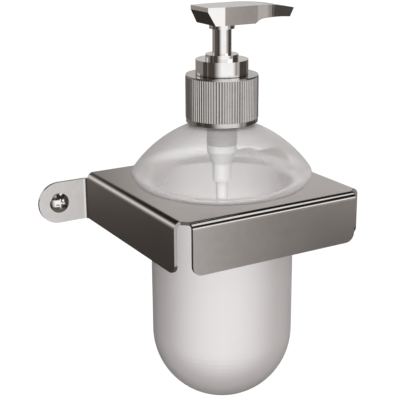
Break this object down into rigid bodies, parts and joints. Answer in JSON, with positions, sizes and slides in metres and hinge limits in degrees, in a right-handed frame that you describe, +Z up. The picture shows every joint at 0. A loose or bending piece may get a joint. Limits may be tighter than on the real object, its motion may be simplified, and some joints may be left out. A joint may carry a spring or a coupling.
{
  "type": "wall mounted soap dispenser",
  "caption": "Bent sheet-metal wall bracket that holds a frosted glass bottle by its domed shoulder, with a screw-on pump whose lever head dispenses liquid soap.",
  "frame": {"origin": "on the wall plane, half way between the two wall screws and at their height", "axes": "+X to the right as seen from the room, +Y into the wall, +Z up; the bottle's axis is vertical, on the -Y side"},
  "size_m": [0.151, 0.1144, 0.1967],
  "materials": {
    "bracket_steel": "satin brushed stainless sheet",
    "screw_steel": "polished stainless",
    "frosted_glass": "acid-etched frosted glass",
    "gasket_rubber": "soft foam washer",
    "pump_plastic": "natural polypropylene",
    "seal_plastic": "soft polyethylene",
    "tube_plastic": "translucent polyethylene",
    "spring_steel": "bright stainless wire and balls",
    "pump_chrome": "polished chrome plate",
    "collar_chrome": "polished chrome plate with fine ribs",
    "head_steel": "satin chrome plate"
  },
  "bodies": {
    "bracket_body": {"bracket": "bracket_steel", "wall_screws": "screw_steel"},
    "bottle_body": {"bottle": "frosted_glass"},
    "pump_core": {"pump_housing": "pump_plastic", "neck_gasket": "gasket_rubber", "cap_ring": "pump_chrome", "guide_ring": "pump_chrome", "stem_guide": "pump_plastic", "valve_cage": "pump_plastic", "dip_tube": "tube_plastic", "return_spring": "spring_steel"},
    "collar": {"collar_shell": "collar_chrome", "closure_cap": "pump_plastic"},
    "inlet_valve": {"inlet_ball": "spring_steel"},
    "plunger": {"piston_rod": "pump_plastic", "piston_seal": "seal_plastic", "stem": "pump_chrome"},
    "head": {"pump_head": "head_steel", "head_ring": "pump_chrome", "head_core": "pump_plastic", "spout_tube": "tube_plastic"},
    "outlet_valve": {"outlet_ball": "spring_steel"}
  },
  "joints": [
    {"name": "bottle_lift", "type": "slide", "parent": "bracket_body", "child": "bottle_body", "axis": [0, 0, 1], "range_m": [0, 0.12]},
    {"name": "pump_rise", "type": "slide", "parent": "bottle_body", "child": "pump_core", "axis": [0, 0, 1], "range_m": [0, 0.00634]},
    {"name": "collar_turn", "type": "hinge", "parent": "pump_core", "child": "collar", "pos_m": [0, -0.0514, 0.0555], "axis": [0, 0, 1], "range_deg": [0, 540]},
    {"name": "inlet_lift", "type": "slide", "parent": "pump_core", "child": "inlet_valve", "axis": [0, 0, 1], "range_m": [0, 0.0012]},
    {"name": "pump_press", "type": "slide", "parent": "pump_core", "child": "plunger", "axis": [0, 0, -1], "range_m": [0, 0.0115], "stiffness_N_per_m": 600, "springref_m": -0.008, "deforming": ["return_spring"]},
    {"name": "head_swivel", "type": "hinge", "parent": "plunger", "child": "head", "pos_m": [0, -0.0514, 0.0906], "axis": [0, 0, 1], "continuous": true},
    {"name": "outlet_lift", "type": "slide", "parent": "plunger", "child": "outlet_valve", "axis": [0, 0, 1], "range_m": [0, 0.0005]}
  ],
  "couplings": [
    {"joint": "collar_turn", "follows": "pump_rise", "rad_per_m": 1485.4}
  ]
}
